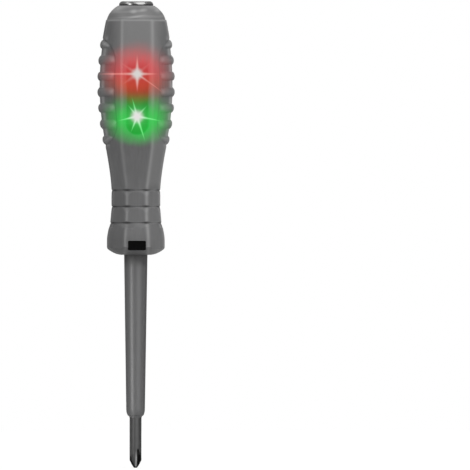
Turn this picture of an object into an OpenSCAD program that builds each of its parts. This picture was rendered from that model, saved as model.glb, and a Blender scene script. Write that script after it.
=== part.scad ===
// Voltage tester screwdriver. A smoky moulded handle with eight facets and two
// ribbed side panels holds a Phillips blade, two lamps on a small circuit board
// and three button cells under a screw cap. The tip of the blade is at the
// origin, +Z runs up through the handle, and the black window faces -Y.

/* [Blade and sleeve] */
// Diameter of the steel blade
blade_d = 3.7; // [3.2:0.1:4]
// Length of shank that stands out of the handle, tip included
shank_l = 66; // [58:1:80]
// Length of blade held inside the handle
blade_root_l = 30; // [22:1:33]
// Length of the cone at the point
point_l = 2.4; // [1.8:0.1:3]
// Diameter of the blunt nose at the point
nose_d = 1.4; // [1.1:0.1:1.8]
// Length of the four flutes
flute_l = 5.8; // [4.5:0.1:7]
// Distance from the axis to the floor of a flute at the nose
flute_floor_r = 0.45; // [0.35:0.05:0.6]
// Turn of the cross about the axis, degrees
cross_turn = 4; // [0:1:45]
// Diameter of the sleeve where it meets the handle
sleeve_top_d = 7.35; // [6.4:0.05:8]
// Diameter of the sleeve above its rounded lower end
sleeve_end_d = 5.9; // [5.2:0.1:6.4]
// Height of the sleeve's lower end above the tip
sleeve_z = 15.6; // [12:0.1:24]
// Height of the rounded lower end
sleeve_nose_h = 2.3; // [1.5:0.1:3]
// Wall left at the very end of the sleeve
sleeve_lip = 0.25; // [0.2:0.05:0.5]
// Depth to which the sleeve is seated in the handle
sleeve_seat = 1; // [0.6:0.1:1.2]

/* [Handle] */
// Width across the flats of the collar
collar_w = 17.7; // [17:0.1:19]
// Straight height of the collar's facets
collar_wall_l = 4.9; // [4.6:0.1:6]
// Length over which the collar narrows to the throat
collar_flare_l = 5.2; // [4.5:0.1:8]
// Width across the flats at the throat
throat_w = 15.7; // [15:0.1:16.5]
// Length of each of the two neck rings
ring_l = 5.05; // [4:0.05:6]
// Width across the flats of the neck
neck_w = 14.95; // [14.2:0.05:15]
// Length of the taper from the neck to the grip
taper_l = 12.6; // [10:0.1:16]
// Length of the ribbed grip panels
grip_l = 35.2; // [32:0.1:40]
// Width across the flats where the grip starts
foot_w = 18.6; // [17.6:0.1:19.5]
// Greatest width across the flats
belly_w = 22.7; // [21.5:0.1:24]
// Height of the greatest width above the start of the grip
belly_l = 19.7; // [17:0.1:22]
// Length from the grip panels to the ledge under the dome
shoulder_l = 4.8; // [4:0.1:6]
// Width across the flats at that ledge
head_w = 18.6; // [18.5:0.1:19.4]
// Diameter of the dome where it starts
dome_d = 18.25; // [17:0.05:18.4]
// Height of the dome
dome_l = 4.4; // [3.8:0.1:5.4]
// Diameter of the flat mouth on top of the dome
mouth_d = 11.3; // [11:0.1:12.5]
// Angle at which the dome's side leans in at its foot, degrees
dome_lean = 10; // [4:1:14]
// Height of the dished underside of the collar
dish_h = 2.4; // [2:0.1:2.8]
// Diameter of the flat in the middle of that underside
dish_d = 8.4; // [8.2:0.1:9.4]
// Depth of the neck grooves below the facets
groove_depth = 0.12; // [0.08:0.01:0.3]
// Height of a neck groove at the facet corners
groove_h = 1.3; // [0.8:0.1:1.8]

/* [Ribs] */
// Number of ribs on each side
rib_count = 7; // [4:1:8]
// Spacing of the ribs
rib_pitch = 4.98; // [4.4:0.02:5.1]
// Height of a rib
rib_h = 2.8; // [1.8:0.1:3.2]
// How far a rib stands above its panel
rib_rise = 0.75; // [0.4:0.05:1]
// Half width of the round-ended panels, seen from the side
panel_r = 8.8; // [8:0.1:9.2]
// Depth of the panels below the facets
panel_depth = 0.2; // [0.1:0.05:0.4]

/* [Lock window] */
// Width of the window and its black key
lock_w = 5.5; // [4.8:0.1:6]
// Height of the window
lock_h = 2.9; // [2.4:0.1:3]
// Height of the window's lower edge above the foot of the collar
lock_rise = 1.45; // [1.4:0.05:1.7]
// Length of the key behind the axis
lock_tail_l = 4.4; // [3:0.1:5.5]
// Corner radius of the window
lock_corner_r = 0.35; // [0.2:0.05:0.6]
// Distance of the key's face inside the facet
lock_inset = 0.15; // [0.05:0.05:0.4]
// Width left across the two flats on the blade
blade_flats_w = 2.6; // [2.2:0.1:2.8]

/* [Cap and thread] */
// Diameter of the cap's rim
cap_d = 10.6; // [10.2:0.1:11]
// Height of the cap above the handle
cap_h = 1.4; // [1.2:0.1:2.2]
// Radius of the cap's upper edge
cap_round_r = 1.1; // [0.6:0.1:1.1]
// Width of the coin slot
slot_w = 1.2; // [0.8:0.1:1.6]
// Depth of the coin slot
slot_depth = 0.6; // [0.4:0.1:0.9]
// Outer diameter of the cap's thread
thread_d = 8.8; // [8.4:0.1:9]
// Length of the cap's thread
thread_l = 5.2; // [4.4:0.1:5.4]
// Thickness of metal above the hollow of the cap
crown_t = 2.6; // [2.2:0.1:3]
// Diameter of the hollow in the cap
hollow_d = 5.8; // [5.6:0.1:6.6]
// Depth of the threaded mouth in the handle
mouth_depth = 6.2; // [6:0.1:6.6]

/* [Cells] */
// Diameter of a button cell
cell_d = 7.9; // [7.6:0.1:7.9]
// Height of a button cell
cell_h = 3.6; // [3.2:0.1:3.8]
// Height of the smaller lower pole of a cell
pole_h = 0.4; // [0.2:0.1:0.6]
// Diameter of that lower pole
pole_d = 6.2; // [5:0.1:6.6]
// Bevel on the upper edge of a cell
cell_bevel = 0.2; // [0.1:0.05:0.3]
// Wall of the thin liner round the cells
liner_wall = 0.2; // [0.1:0.05:0.2]
// Thickness of the plate under the cells
plate_t = 0.4; // [0.3:0.05:0.6]
// Length of the spring under the cap
cap_spring_l = 5.5; // [5:0.1:5.8]
// Outer diameter of that spring
cap_spring_d = 5; // [4.4:0.1:5]
// Wire of that spring
cap_wire_d = 0.5; // [0.4:0.05:0.5]
// Turns of that spring
cap_spring_turns = 4; // [3:1:4]

/* [Lamp chamber] */
// Diameter of the chamber
chamber_d = 6.9; // [6.9:0.05:7.3]
// Length of the chamber, with its round end
chamber_l = 21.4; // [21.2:0.1:23]
// Width of the circuit board
board_w = 5.6; // [4.8:0.1:5.6]
// Thickness of the circuit board
board_t = 1; // [0.8:0.1:1]
// Length of the circuit board
board_l = 18.8; // [18:0.1:19]
// Distance of the board's front face behind the axis
board_back = 0.6; // [0.6:0.05:0.65]
// Distance from the top of the board to the upper lamp's light
lamp_drop = 3.2; // [3:0.1:3.4]
// Distance between the two lights
lamp_pitch = 13; // [12.6:0.1:13.2]
// Diameter of a lamp
lamp_d = 3; // [2.4:0.1:3]
// Diameter of a lamp's flange
lamp_flange_d = 3.8; // [3.2:0.1:3.8]
// Height of a lamp's flange
lamp_flange_h = 0.9; // [0.6:0.1:1.2]
// Length of a lamp
lamp_l = 4.5; // [4:0.1:4.6]
// Distance from a lamp's light to the end of its dome
lamp_nose_l = 2.6; // [2.2:0.1:2.7]
// Distance of the lamps in front of the axis
lamp_front = 1.4; // [1.3:0.05:1.45]
// Diameter of a resistor's body
resistor_d = 1.7; // [1.4:0.1:1.8]
// Length of a resistor's body
resistor_l = 3.2; // [2.6:0.1:3.4]
// Distance of each resistor from the middle
resistor_side = 1.3; // [1.1:0.1:1.6]
// Length of a transistor's body
transistor_l = 2.9; // [2.4:0.1:3]
// Width of a transistor's body
transistor_w = 1.3; // [1.1:0.1:1.6]
// Depth of a transistor's body
transistor_t = 1; // [0.8:0.1:1.1]

/* [Small metal] */
// Thickness of the lead wires
lead_t = 0.4; // [0.3:0.05:0.5]
// Spacing of a lamp's two leads
lead_pitch = 2.54; // [2:0.02:2.8]
// Length of lead between a part and its bend
lead_drop = 0.6; // [0.5:0.05:0.8]
// Thickness of a transistor's legs
leg_t = 0.15; // [0.1:0.05:0.25]
// Thickness of the brass strips
strip_t = 0.3; // [0.2:0.05:0.35]
// Width of the return strip
strip_w = 2; // [1.6:0.1:2.4]
// Length of strip beside the cap's thread
strip_reach = 2.2; // [1.5:0.1:3]
// Width of the contact foot under the board
contact_w = 3.4; // [3:0.1:3.8]
// How far that foot reaches in front of the axis
contact_front = 0.3; // [0.2:0.05:0.4]
// Width of the tongues soldered to the board
tongue_w = 1.6; // [1.2:0.1:2.4]
// Length of those tongues
tongue_l = 1.5; // [1:0.1:2]
// Drop of the return strip's foot below the cells' shoulder
strip_drop = 1; // [0.8:0.05:1.4]
// Outer diameter of the blade's contact spring
blade_spring_d = 3.2; // [2.8:0.1:3.3]
// Wire of the blade's contact spring
blade_wire_d = 0.36; // [0.3:0.02:0.4]
// Turns of the blade's contact spring
blade_spring_turns = 9; // [6:1:9]

/* [Fits] */
// Radial clearance of the thread and the pushed-in pieces
fit = 0.05; // [0.03:0.01:0.08]
// Side clearance of loose pieces inside the handle
slack = 0.1; // [0.06:0.02:0.14]

/* [Hidden] */
$fn = 96;

// One overrun serves every cut.
over = 1;

// Heights of the handle, from the foot of the collar to the mouth on the dome
foot_z = shank_l;
flare_z = foot_z + collar_wall_l;
throat_z = flare_z + collar_flare_l;
ring_z = throat_z + ring_l;
neck_z = ring_z + ring_l;
grip_z = neck_z + taper_l;
belly_z = grip_z + belly_l;
panel_top_z = grip_z + grip_l;
head_z = panel_top_z + shoulder_l;
top_z = head_z + dome_l;

// Heights inside the handle, from the mouth down
ceiling_z = top_z + cap_h - crown_t;
cells_top_z = ceiling_z - cap_spring_l;
cell_count = 3;
cells_z = cells_top_z - cell_count * cell_h;
chamber_top_z = cells_z - plate_t;
chamber_z = chamber_top_z - chamber_l;
mouth_z = top_z - mouth_depth;
board_top_z = chamber_top_z - slack;
board_z = board_top_z - board_l;
contact_z = board_z - strip_t;
root_z = shank_l + blade_root_l;
red_z = board_top_z - lamp_drop;
green_z = red_z - lamp_pitch;
lock_z = foot_z + lock_rise;
board_rear = board_back + board_t;
strip_z = chamber_top_z - strip_drop;
strip_top_z = mouth_z + strip_reach;

// Bores of the handle
thread_bore_r = thread_d / 2 + fit;
cell_bore_r = cell_d / 2 + slack + liner_wall + fit;
blade_bore_r = blade_d / 2 + fit;
spring_bore_r = blade_bore_r + slack;
strip_y = max(thread_bore_r, cell_bore_r) + fit;

// Powers of the curves that join the widths of the handle
bow_power = 1.4;
bulge_power = 2;
// Radius of the rounded facet corners, as a share of half the width across flats
corner_share = 1.055;
// Half height of the groove's floor, as a share of the groove's height
groove_floor_share = 0.12;
// Shape of the small parts, as shares of their own sizes
waist_share = 0.84;
swell_share = 0.3;
leg_share = 0.33;
low_transistor_share = 0.25;
high_transistor_share = 0.68;
lead_share = 1.5;
// Bevels and the hidden root of a rib
thread_bevel = 0.4;
blade_bevel = 0.15;
rib_root = 0.3;
// Rings to a turn of a spring, and sides to its wire
coil_rings = 8;
wire_sides = 6;
// Steps along each curve
flare_steps = 5;
taper_steps = 6;
bulge_steps = 9;
dome_steps = 9;
rib_steps = 6;

// Half the width across flats at height z, from the foot of the collar to the dome
function ease_in(low, high, t) = low + (high - low) * pow(t, bow_power);
function collar_half(z) = ease_in(collar_w, throat_w, max(0, z - flare_z) / collar_flare_l) / 2;
function neck_half(z) = ease_in(neck_w, throat_w, max(0, ring_z - z) / ring_l) / 2;
function taper_half(z) = ease_in(neck_w, foot_w, (z - neck_z) / taper_l) / 2;
function bulge(end_w, t) = belly_w - (belly_w - end_w) * pow(t, bulge_power);
function grip_half(z) = z < belly_z
    ? bulge(foot_w, (belly_z - z) / belly_l) / 2
    : bulge(head_w, (z - belly_z) / (head_z - belly_z)) / 2;
function half_width(z) = z <= throat_z ? collar_half(z)
    : z <= neck_z ? neck_half(z)
    : z <= grip_z ? taper_half(z)
    : grip_half(z);

// Heights at which the outline is drawn
function steps_between(z0, z1, n) = [for (i = [0 : n - 1]) z0 + (z1 - z0) * i / n];
facet_heights = concat(
    steps_between(flare_z, throat_z, flare_steps),
    steps_between(throat_z, ring_z, flare_steps),
    steps_between(ring_z, neck_z, 1),
    steps_between(neck_z, grip_z, taper_steps),
    steps_between(grip_z, belly_z, bulge_steps),
    steps_between(belly_z, head_z, bulge_steps),
    [head_z]);

// Outline of a facet pair, seen edge-on: it stands clear of the dish and the dome
facet_outline = concat(
    [[0, foot_z - over], [collar_w / 2, foot_z - over]],
    [for (z = facet_heights) [half_width(z), z]],
    [[belly_w / 2, head_z], [belly_w / 2, top_z + over], [0, top_z + over]]);

// Outline that rounds the corners between facets: dish, collar, grooves, grip and dome
dish_points = [for (i = [0 : flare_steps])
    let (t = i / flare_steps, rim = corner_share * collar_w / 2)
    [dish_d / 2 + (rim - dish_d / 2) * t, foot_z + dish_h * pow(t, bulge_power)]];
groove_heights = [throat_z, ring_z, neck_z];
function groove_points(z) = [
    [corner_share * half_width(z - groove_h / 2), z - groove_h / 2],
    [half_width(z) - groove_depth, z - groove_h * groove_floor_share],
    [half_width(z) - groove_depth, z + groove_h * groove_floor_share],
    [corner_share * half_width(z + groove_h / 2), z + groove_h / 2]];
function clear_of_grooves(z) = min([for (g = groove_heights) abs(z - g)]) > groove_h / 2 + fit;
function corner_points(z0, z1) = [for (z = facet_heights)
    if (z > z0 && z < z1 && clear_of_grooves(z)) [corner_share * half_width(z), z]];
dome_r = dome_d / 2 / cos(dome_lean);
dome_end = acos(mouth_d / 2 / dome_r);
dome_rise = dome_l / (sin(dome_end) - sin(dome_lean));
dome_points = [for (i = [0 : dome_steps])
    let (a = dome_lean + (dome_end - dome_lean) * i / dome_steps)
    [dome_r * cos(a), head_z + dome_rise * (sin(a) - sin(dome_lean))]];
corner_outline = concat(
    [[0, foot_z]],
    dish_points,
    corner_points(foot_z + dish_h, throat_z),
    groove_points(throat_z),
    corner_points(throat_z, ring_z),
    groove_points(ring_z),
    corner_points(ring_z, neck_z),
    groove_points(neck_z),
    corner_points(neck_z, head_z),
    [[corner_share * head_w / 2, head_z]],
    dome_points,
    [[0, top_z]]);

// Shapes shared by several pieces
module facet_pair(outline) {
    mirrored = [for (i = [len(outline) - 1 : -1 : 0]) [-outline[i].x, outline[i].y]];
    rotate([90, 0, 0]) linear_extrude(2 * belly_w, center = true) polygon(concat(outline, mirrored));
}

module eight_sided(facets, corners) {
    intersection() {
        intersection_for (turn = [0 : 45 : 135]) rotate(turn) facet_pair(facets);
        rotate_extrude() polygon(corners);
    }
}

module bore(r, z0, z1) {
    translate([0, 0, z0]) cylinder(r = r, h = z1 - z0);
}

module round_rect(w, h, r) {
    square([w - 2 * r, h], center = true);
    square([w, h - 2 * r], center = true);
    for (x = [r - w / 2, w / 2 - r], y = [r - h / 2, h / 2 - r]) translate([x, y]) circle(r);
}

// A rounded bar along Y at the height of the lock window
module lock_bar(grow, y0, y1) {
    translate([0, y1, lock_z + lock_h / 2]) rotate([90, 0, 0])
        linear_extrude(y1 - y0) round_rect(lock_w + 2 * grow, lock_h + 2 * grow, lock_corner_r);
}

// A block between two corners
module block(low, high) {
    translate(low) cube(high - low);
}

// Handle: one smoky moulding
module panel_block() {
    rotate([90, 0, 90]) linear_extrude(2 * belly_w, center = true) {
        translate([-panel_r, grip_z + panel_r]) square([2 * panel_r, grip_l - 2 * panel_r]);
        translate([0, grip_z + panel_r]) circle(panel_r);
        translate([0, panel_top_z - panel_r]) circle(panel_r);
    }
}

function panel_outline(share) = concat(
    [[0, grip_z - over]],
    [for (z = steps_between(grip_z - over, panel_top_z + over, 2 * bulge_steps))
        [share * (half_width(z) - panel_depth), z]],
    [[share * (half_width(panel_top_z + over) - panel_depth), panel_top_z + over],
    [0, panel_top_z + over]]);

module panel_recess() {
    difference() {
        panel_block();
        eight_sided(panel_outline(1), panel_outline(corner_share));
    }
}

function rib_z(i) = grip_z + grip_l / 2 + (i - (rib_count - 1) / 2) * rib_pitch;

// A rib swells from inside the panel to its crown and back
function rib_outline(i, share) = concat(
    [[0, rib_z(i) - rib_h / 2]],
    [for (k = [0 : rib_steps])
        let (a = 180 * k / rib_steps, z = rib_z(i) - rib_h / 2 * cos(a))
        [share * (half_width(z) - panel_depth - rib_root + (rib_root + rib_rise) * sin(a)), z]],
    [[0, rib_z(i) + rib_h / 2]]);

module ribs() {
    for (i = [0 : rib_count - 1]) intersection() {
        eight_sided(rib_outline(i, 1), rib_outline(i, corner_share));
        panel_block();
    }
}

module handle_bores() {
    bore(sleeve_top_d / 2 + fit, foot_z - over, foot_z + sleeve_seat);
    bore(blade_bore_r, foot_z, root_z + fit);
    bore(spring_bore_r, root_z, chamber_z + chamber_d / 2);
    bore(chamber_d / 2, chamber_z + chamber_d / 2, chamber_top_z + over);
    translate([0, 0, chamber_z + chamber_d / 2]) sphere(chamber_d / 2);
    bore(cell_bore_r, chamber_top_z, mouth_z + over);
    bore(thread_bore_r, mouth_z, top_z + over);
    block([-strip_w / 2 - slack, 0, strip_z - slack],
        [strip_w / 2 + slack, strip_y + strip_t + slack, strip_top_z + slack]);
    lock_bar(fit, -belly_w / 2, lock_tail_l + slack);
}

module handle() {
    color([0.42, 0.42, 0.43]) difference() {
        union() {
            difference() {
                eight_sided(facet_outline, corner_outline);
                panel_recess();
            }
            ribs();
        }
        handle_bores();
    }
}

// Cap: turned and plated, hollow for its spring, with a coin slot on top
cap_rim_points = [for (i = [0 : dome_steps])
    let (a = 90 * i / dome_steps)
    [cap_d / 2 - cap_round_r * (1 - cos(a)), top_z + cap_h - cap_round_r * (1 - sin(a))]];

module touch_cap() {
    color([0.80, 0.80, 0.82]) difference() {
        rotate_extrude() polygon(concat(
            [[hollow_d / 2, top_z - thread_l],
            [thread_d / 2 - thread_bevel, top_z - thread_l],
            [thread_d / 2, top_z - thread_l + thread_bevel],
            [thread_d / 2, top_z],
            [cap_d / 2, top_z]],
            cap_rim_points,
            [[0, top_z + cap_h],
            [0, ceiling_z],
            [hollow_d / 2, ceiling_z]]));
        block([-cap_d, -slot_w / 2, top_z + cap_h - slot_depth], [cap_d, slot_w / 2, top_z + cap_h + over]);
    }
}

// Springs: one wire each, which leaves each end square to the metal that it presses on
function coil_path(r, z0, z1, turns, d) =
    let (rings = turns * coil_rings, low = z0 + lead_share * d, high = z1 - lead_share * d)
    concat(
        [[r, 0, z0]],
        [for (i = [0 : rings])
            let (a = 360 * i / coil_rings)
            [r * cos(a), r * sin(a), low + (high - low) * i / rings]],
        [[r, 0, z1]]);

// Least gap between points of the wire that are half a turn or more apart
function least_gap(path, d) = min([for (i = [0 : len(path) - 1]) for (j = [i + coil_rings / 2 : len(path) - 1])
    norm(path[i] - path[j])]) - d;

module wire(path, d) {
    last = len(path) - 1;
    function along(i) = path[min(i + 1, last)] - path[max(i - 1, 0)];
    function outward(i) = [path[i].x, path[i].y, 0] / norm([path[i].x, path[i].y, 0]);
    function across(i) = cross(along(i), outward(i)) / norm(cross(along(i), outward(i)));
    points = [for (i = [0 : last], k = [0 : wire_sides - 1])
        let (a = 360 * k / wire_sides)
        path[i] + d / 2 * (cos(a) * outward(i) + sin(a) * across(i))];
    sides = [for (i = [0 : last - 1], k = [0 : wire_sides - 1])
        let (a = i * wire_sides + k, b = i * wire_sides + (k + 1) % wire_sides)
        each [[a, a + wire_sides, b + wire_sides], [a, b + wire_sides, b]]];
    end = last * wire_sides;
    ends = [for (k = [1 : wire_sides - 2]) each [[0, k, k + 1], [end, end + k + 1, end + k]]];
    polyhedron(points, concat(sides, ends));
}

cap_spring_path = coil_path((cap_spring_d - cap_wire_d) / 2, cells_top_z, ceiling_z, cap_spring_turns, cap_wire_d);
blade_spring_path = coil_path((blade_spring_d - blade_wire_d) / 2, root_z, contact_z, blade_spring_turns,
    blade_wire_d);

module cap_spring() {
    color([0.70, 0.70, 0.72]) wire(cap_spring_path, cap_wire_d);
}

module blade_spring() {
    color([0.70, 0.70, 0.72]) wire(blade_spring_path, blade_wire_d);
}

// Cells, counted from the top, each with its smaller pole below
module button_cell(number) {
    z = cells_top_z - number * cell_h;
    color([0.75, 0.75, 0.78]) rotate_extrude() polygon([
        [0, z],
        [pole_d / 2, z],
        [pole_d / 2, z + pole_h],
        [cell_d / 2, z + pole_h],
        [cell_d / 2, z + cell_h - cell_bevel],
        [cell_d / 2 - cell_bevel, z + cell_h],
        [0, z + cell_h]]);
}

module cell_liner() {
    color([0.15, 0.15, 0.16]) difference() {
        bore(cell_bore_r - fit, chamber_top_z, cells_top_z);
        bore(cell_d / 2 + slack, chamber_top_z - over, cells_top_z + over);
    }
}

// Brass plate on the shoulder under the cells, with a tongue on the front of the board
module battery_contact() {
    color([0.80, 0.65, 0.30]) {
        bore(cell_d / 2, chamber_top_z, cells_z);
        block([-tongue_w / 2, board_back - strip_t, chamber_top_z - tongue_l],
            [tongue_w / 2, board_back, chamber_top_z]);
    }
}

// Brass strip in its groove, from beside the cap's thread to the back of the board
module return_strip() {
    color([0.80, 0.65, 0.30]) {
        block([-strip_w / 2, strip_y, strip_z], [strip_w / 2, strip_y + strip_t, strip_top_z]);
        block([-strip_w / 2, board_rear, strip_z], [strip_w / 2, strip_y, strip_z + strip_t]);
    }
}

// Circuit board and what is soldered to it
module circuit_board() {
    color([0.10, 0.35, 0.20])
        block([-board_w / 2, board_back, board_z], [board_w / 2, board_rear, board_top_z]);
}

// A lamp lies along the board with its two leads bent back into it; facing 1 points up, -1 down
module lamp(light_z, facing) {
    base = lamp_nose_l - lamp_l;
    translate([0, -lamp_front, light_z]) mirror([0, 0, facing < 0 ? 1 : 0]) {
        bore(lamp_d / 2, base, lamp_nose_l - lamp_d / 2);
        translate([0, 0, lamp_nose_l - lamp_d / 2]) sphere(lamp_d / 2);
        bore(lamp_flange_d / 2, base, base + lamp_flange_h);
        for (x = [-lead_pitch / 2, lead_pitch / 2]) {
            block([x - lead_t / 2, -lead_t / 2, base - lead_drop], [x + lead_t / 2, lead_t / 2, base]);
            block([x - lead_t / 2, lead_t / 2, base - lead_drop],
                [x + lead_t / 2, lamp_front + board_back, base - lead_drop + lead_t]);
        }
    }
}

module red_led() {
    color([0.85, 0.15, 0.12]) lamp(red_z, 1);
}

module green_led() {
    color([0.15, 0.70, 0.25]) lamp(green_z, -1);
}

// A resistor stands along the board between the lamps, with swollen ends and bent leads
module resistor(x) {
    half = resistor_l / 2;
    z = (red_z + green_z) / 2;
    swell = half * swell_share;
    translate([x, board_back - resistor_d / 2 - slack, z]) {
        rotate_extrude() polygon([
            [0, -half],
            [resistor_d / 2 * waist_share, -half],
            [resistor_d / 2, -half + swell / 2],
            [resistor_d / 2, -half + swell],
            [resistor_d / 2 * waist_share, -half + 2 * swell],
            [resistor_d / 2 * waist_share, half - 2 * swell],
            [resistor_d / 2, half - swell],
            [resistor_d / 2, half - swell / 2],
            [resistor_d / 2 * waist_share, half],
            [0, half]]);
        for (side = [0, 1]) mirror([0, 0, side]) {
            block([-lead_t / 2, -lead_t / 2, half], [lead_t / 2, lead_t / 2, half + lead_drop]);
            block([-lead_t / 2, lead_t / 2, half + lead_drop - lead_t],
                [lead_t / 2, resistor_d / 2 + slack, half + lead_drop]);
        }
    }
}

module series_resistor() {
    color([0.80, 0.70, 0.50]) resistor(-resistor_side);
}

module bias_resistor() {
    color([0.45, 0.62, 0.75]) resistor(resistor_side);
}

// A small transistor on the back of the board, on three bent legs
module transistor(share) {
    z = board_z + share * board_l;
    shoulder_y = slack + transistor_t / 2;
    translate([0, board_rear, z]) {
        block([-transistor_w / 2, slack, -transistor_l / 2],
            [transistor_w / 2, slack + transistor_t, transistor_l / 2]);
        for (leg = [[-1, -1], [-1, 1], [1, 0]]) translate([0, 0, leg.y * transistor_l * leg_share])
            mirror([leg.x < 0 ? 1 : 0, 0, 0]) {
                block([transistor_w / 2, shoulder_y, -lead_t / 2],
                    [transistor_w / 2 + lead_t, shoulder_y + leg_t, lead_t / 2]);
                block([transistor_w / 2 + lead_t - leg_t, 0, -lead_t / 2],
                    [transistor_w / 2 + lead_t, shoulder_y, lead_t / 2]);
            }
    }
}

module transistor_1() {
    color([0.12, 0.12, 0.12]) transistor(low_transistor_share);
}

module transistor_2() {
    color([0.12, 0.12, 0.12]) transistor(high_transistor_share);
}

// Brass foot under the board that the blade's spring presses on
module blade_contact() {
    color([0.80, 0.65, 0.30]) {
        block([-contact_w / 2, -contact_front, contact_z], [contact_w / 2, board_rear + strip_t, board_z]);
        block([-tongue_w / 2, board_rear, board_z], [tongue_w / 2, board_rear + strip_t, board_z + tongue_l]);
    }
}

// Blade: a steel rod with a Phillips point and two flats for the lock
module flute() {
    lean = atan2(blade_d / 2 - flute_floor_r, flute_l);
    translate([flute_floor_r, 0, 0]) rotate([0, lean, 0]) translate([0, 0, -over])
        rotate(-45) cube([blade_d, blade_d, flute_l + 2 * over]);
}

module blade() {
    color([0.35, 0.35, 0.36]) difference() {
        rotate_extrude() polygon([
            [0, 0],
            [nose_d / 2, 0],
            [blade_d / 2, point_l],
            [blade_d / 2, root_z - blade_bevel],
            [blade_d / 2 - blade_bevel, root_z],
            [0, root_z]]);
        for (k = [0 : 3]) rotate(cross_turn + 45 + 90 * k) flute();
        for (side = [0, 1]) mirror([side, 0, 0])
            block([blade_flats_w / 2, -blade_d, lock_z - slack], [blade_d, blade_d, lock_z + lock_h + slack]);
    }
}

// Sleeve: a tapered tube with a rounded lower end, seated in the foot of the handle
sleeve_nose_points = [for (i = [0 : dome_steps])
    let (a = 90 * i / dome_steps, lip_r = blade_bore_r + sleeve_lip)
    [lip_r + (sleeve_end_d / 2 - lip_r) * sin(a), sleeve_z + sleeve_nose_h * (1 - cos(a))]];

module insulating_sleeve() {
    color([0.40, 0.40, 0.41]) rotate_extrude() polygon(concat(
        [[blade_bore_r, sleeve_z]],
        sleeve_nose_points,
        [[sleeve_top_d / 2, foot_z],
        [sleeve_top_d / 2, foot_z + sleeve_seat],
        [blade_bore_r, foot_z + sleeve_seat]]));
}

// Lock: a black key pushed in through the window, whose fork straddles the blade's flats
module shank_lock() {
    color([0.06, 0.06, 0.06]) difference() {
        lock_bar(0, lock_inset - collar_w / 2, lock_tail_l);
        block([-blade_flats_w / 2 - fit, -blade_d / 2 - fit, lock_z - over],
            [blade_flats_w / 2 + fit, lock_tail_l + over, lock_z + lock_h + over]);
    }
}

echo(cap_spring_gap = least_gap(cap_spring_path, cap_wire_d));
echo(blade_spring_gap = least_gap(blade_spring_path, blade_wire_d));

handle();
touch_cap();
cap_spring();
button_cell(1);  // button_cell_1
button_cell(2);  // button_cell_2
button_cell(3);  // button_cell_3
cell_liner();
battery_contact();
return_strip();
circuit_board();
red_led();
green_led();
series_resistor();
bias_resistor();
transistor_1();
transistor_2();
blade_contact();
blade_spring();
blade();
insulating_sleeve();
shank_lock();
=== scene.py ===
import math

import bmesh
import bpy
from mathutils import Matrix, Vector


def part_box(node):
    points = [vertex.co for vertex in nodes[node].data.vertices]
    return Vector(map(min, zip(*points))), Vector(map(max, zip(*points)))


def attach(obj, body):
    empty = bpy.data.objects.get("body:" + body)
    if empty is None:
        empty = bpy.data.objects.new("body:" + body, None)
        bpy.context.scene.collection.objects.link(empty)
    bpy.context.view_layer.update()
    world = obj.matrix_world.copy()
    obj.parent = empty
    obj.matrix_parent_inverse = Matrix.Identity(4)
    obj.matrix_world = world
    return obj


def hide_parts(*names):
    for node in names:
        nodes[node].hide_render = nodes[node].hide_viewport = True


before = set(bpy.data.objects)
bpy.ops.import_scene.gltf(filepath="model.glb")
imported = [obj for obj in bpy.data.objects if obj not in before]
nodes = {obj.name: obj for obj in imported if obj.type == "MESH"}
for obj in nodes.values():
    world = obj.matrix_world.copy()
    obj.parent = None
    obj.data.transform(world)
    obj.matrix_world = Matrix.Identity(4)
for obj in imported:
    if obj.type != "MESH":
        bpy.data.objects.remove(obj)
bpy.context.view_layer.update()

# Meshes are in metres, so their sizes are written as 5.8 * mm. Surfaces are in plain millimetres.
mm = 0.001
flute_l, wing_turn = 5.8, math.radians(4)
blade_cone_r, blade_cone_h, blade_cone_slope = 0.52, 2.4, 1.33 / 2.4
nose_round, nose_h, nose_share, nose_bow = 0.25 * mm, 0.8 * mm, 0.6, 0.6
blade_edge_round, sharp_angle = 0.06 * mm, math.radians(28)
weld_gap, flat_angle = 0.0005 * mm, math.radians(0.3)


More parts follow.
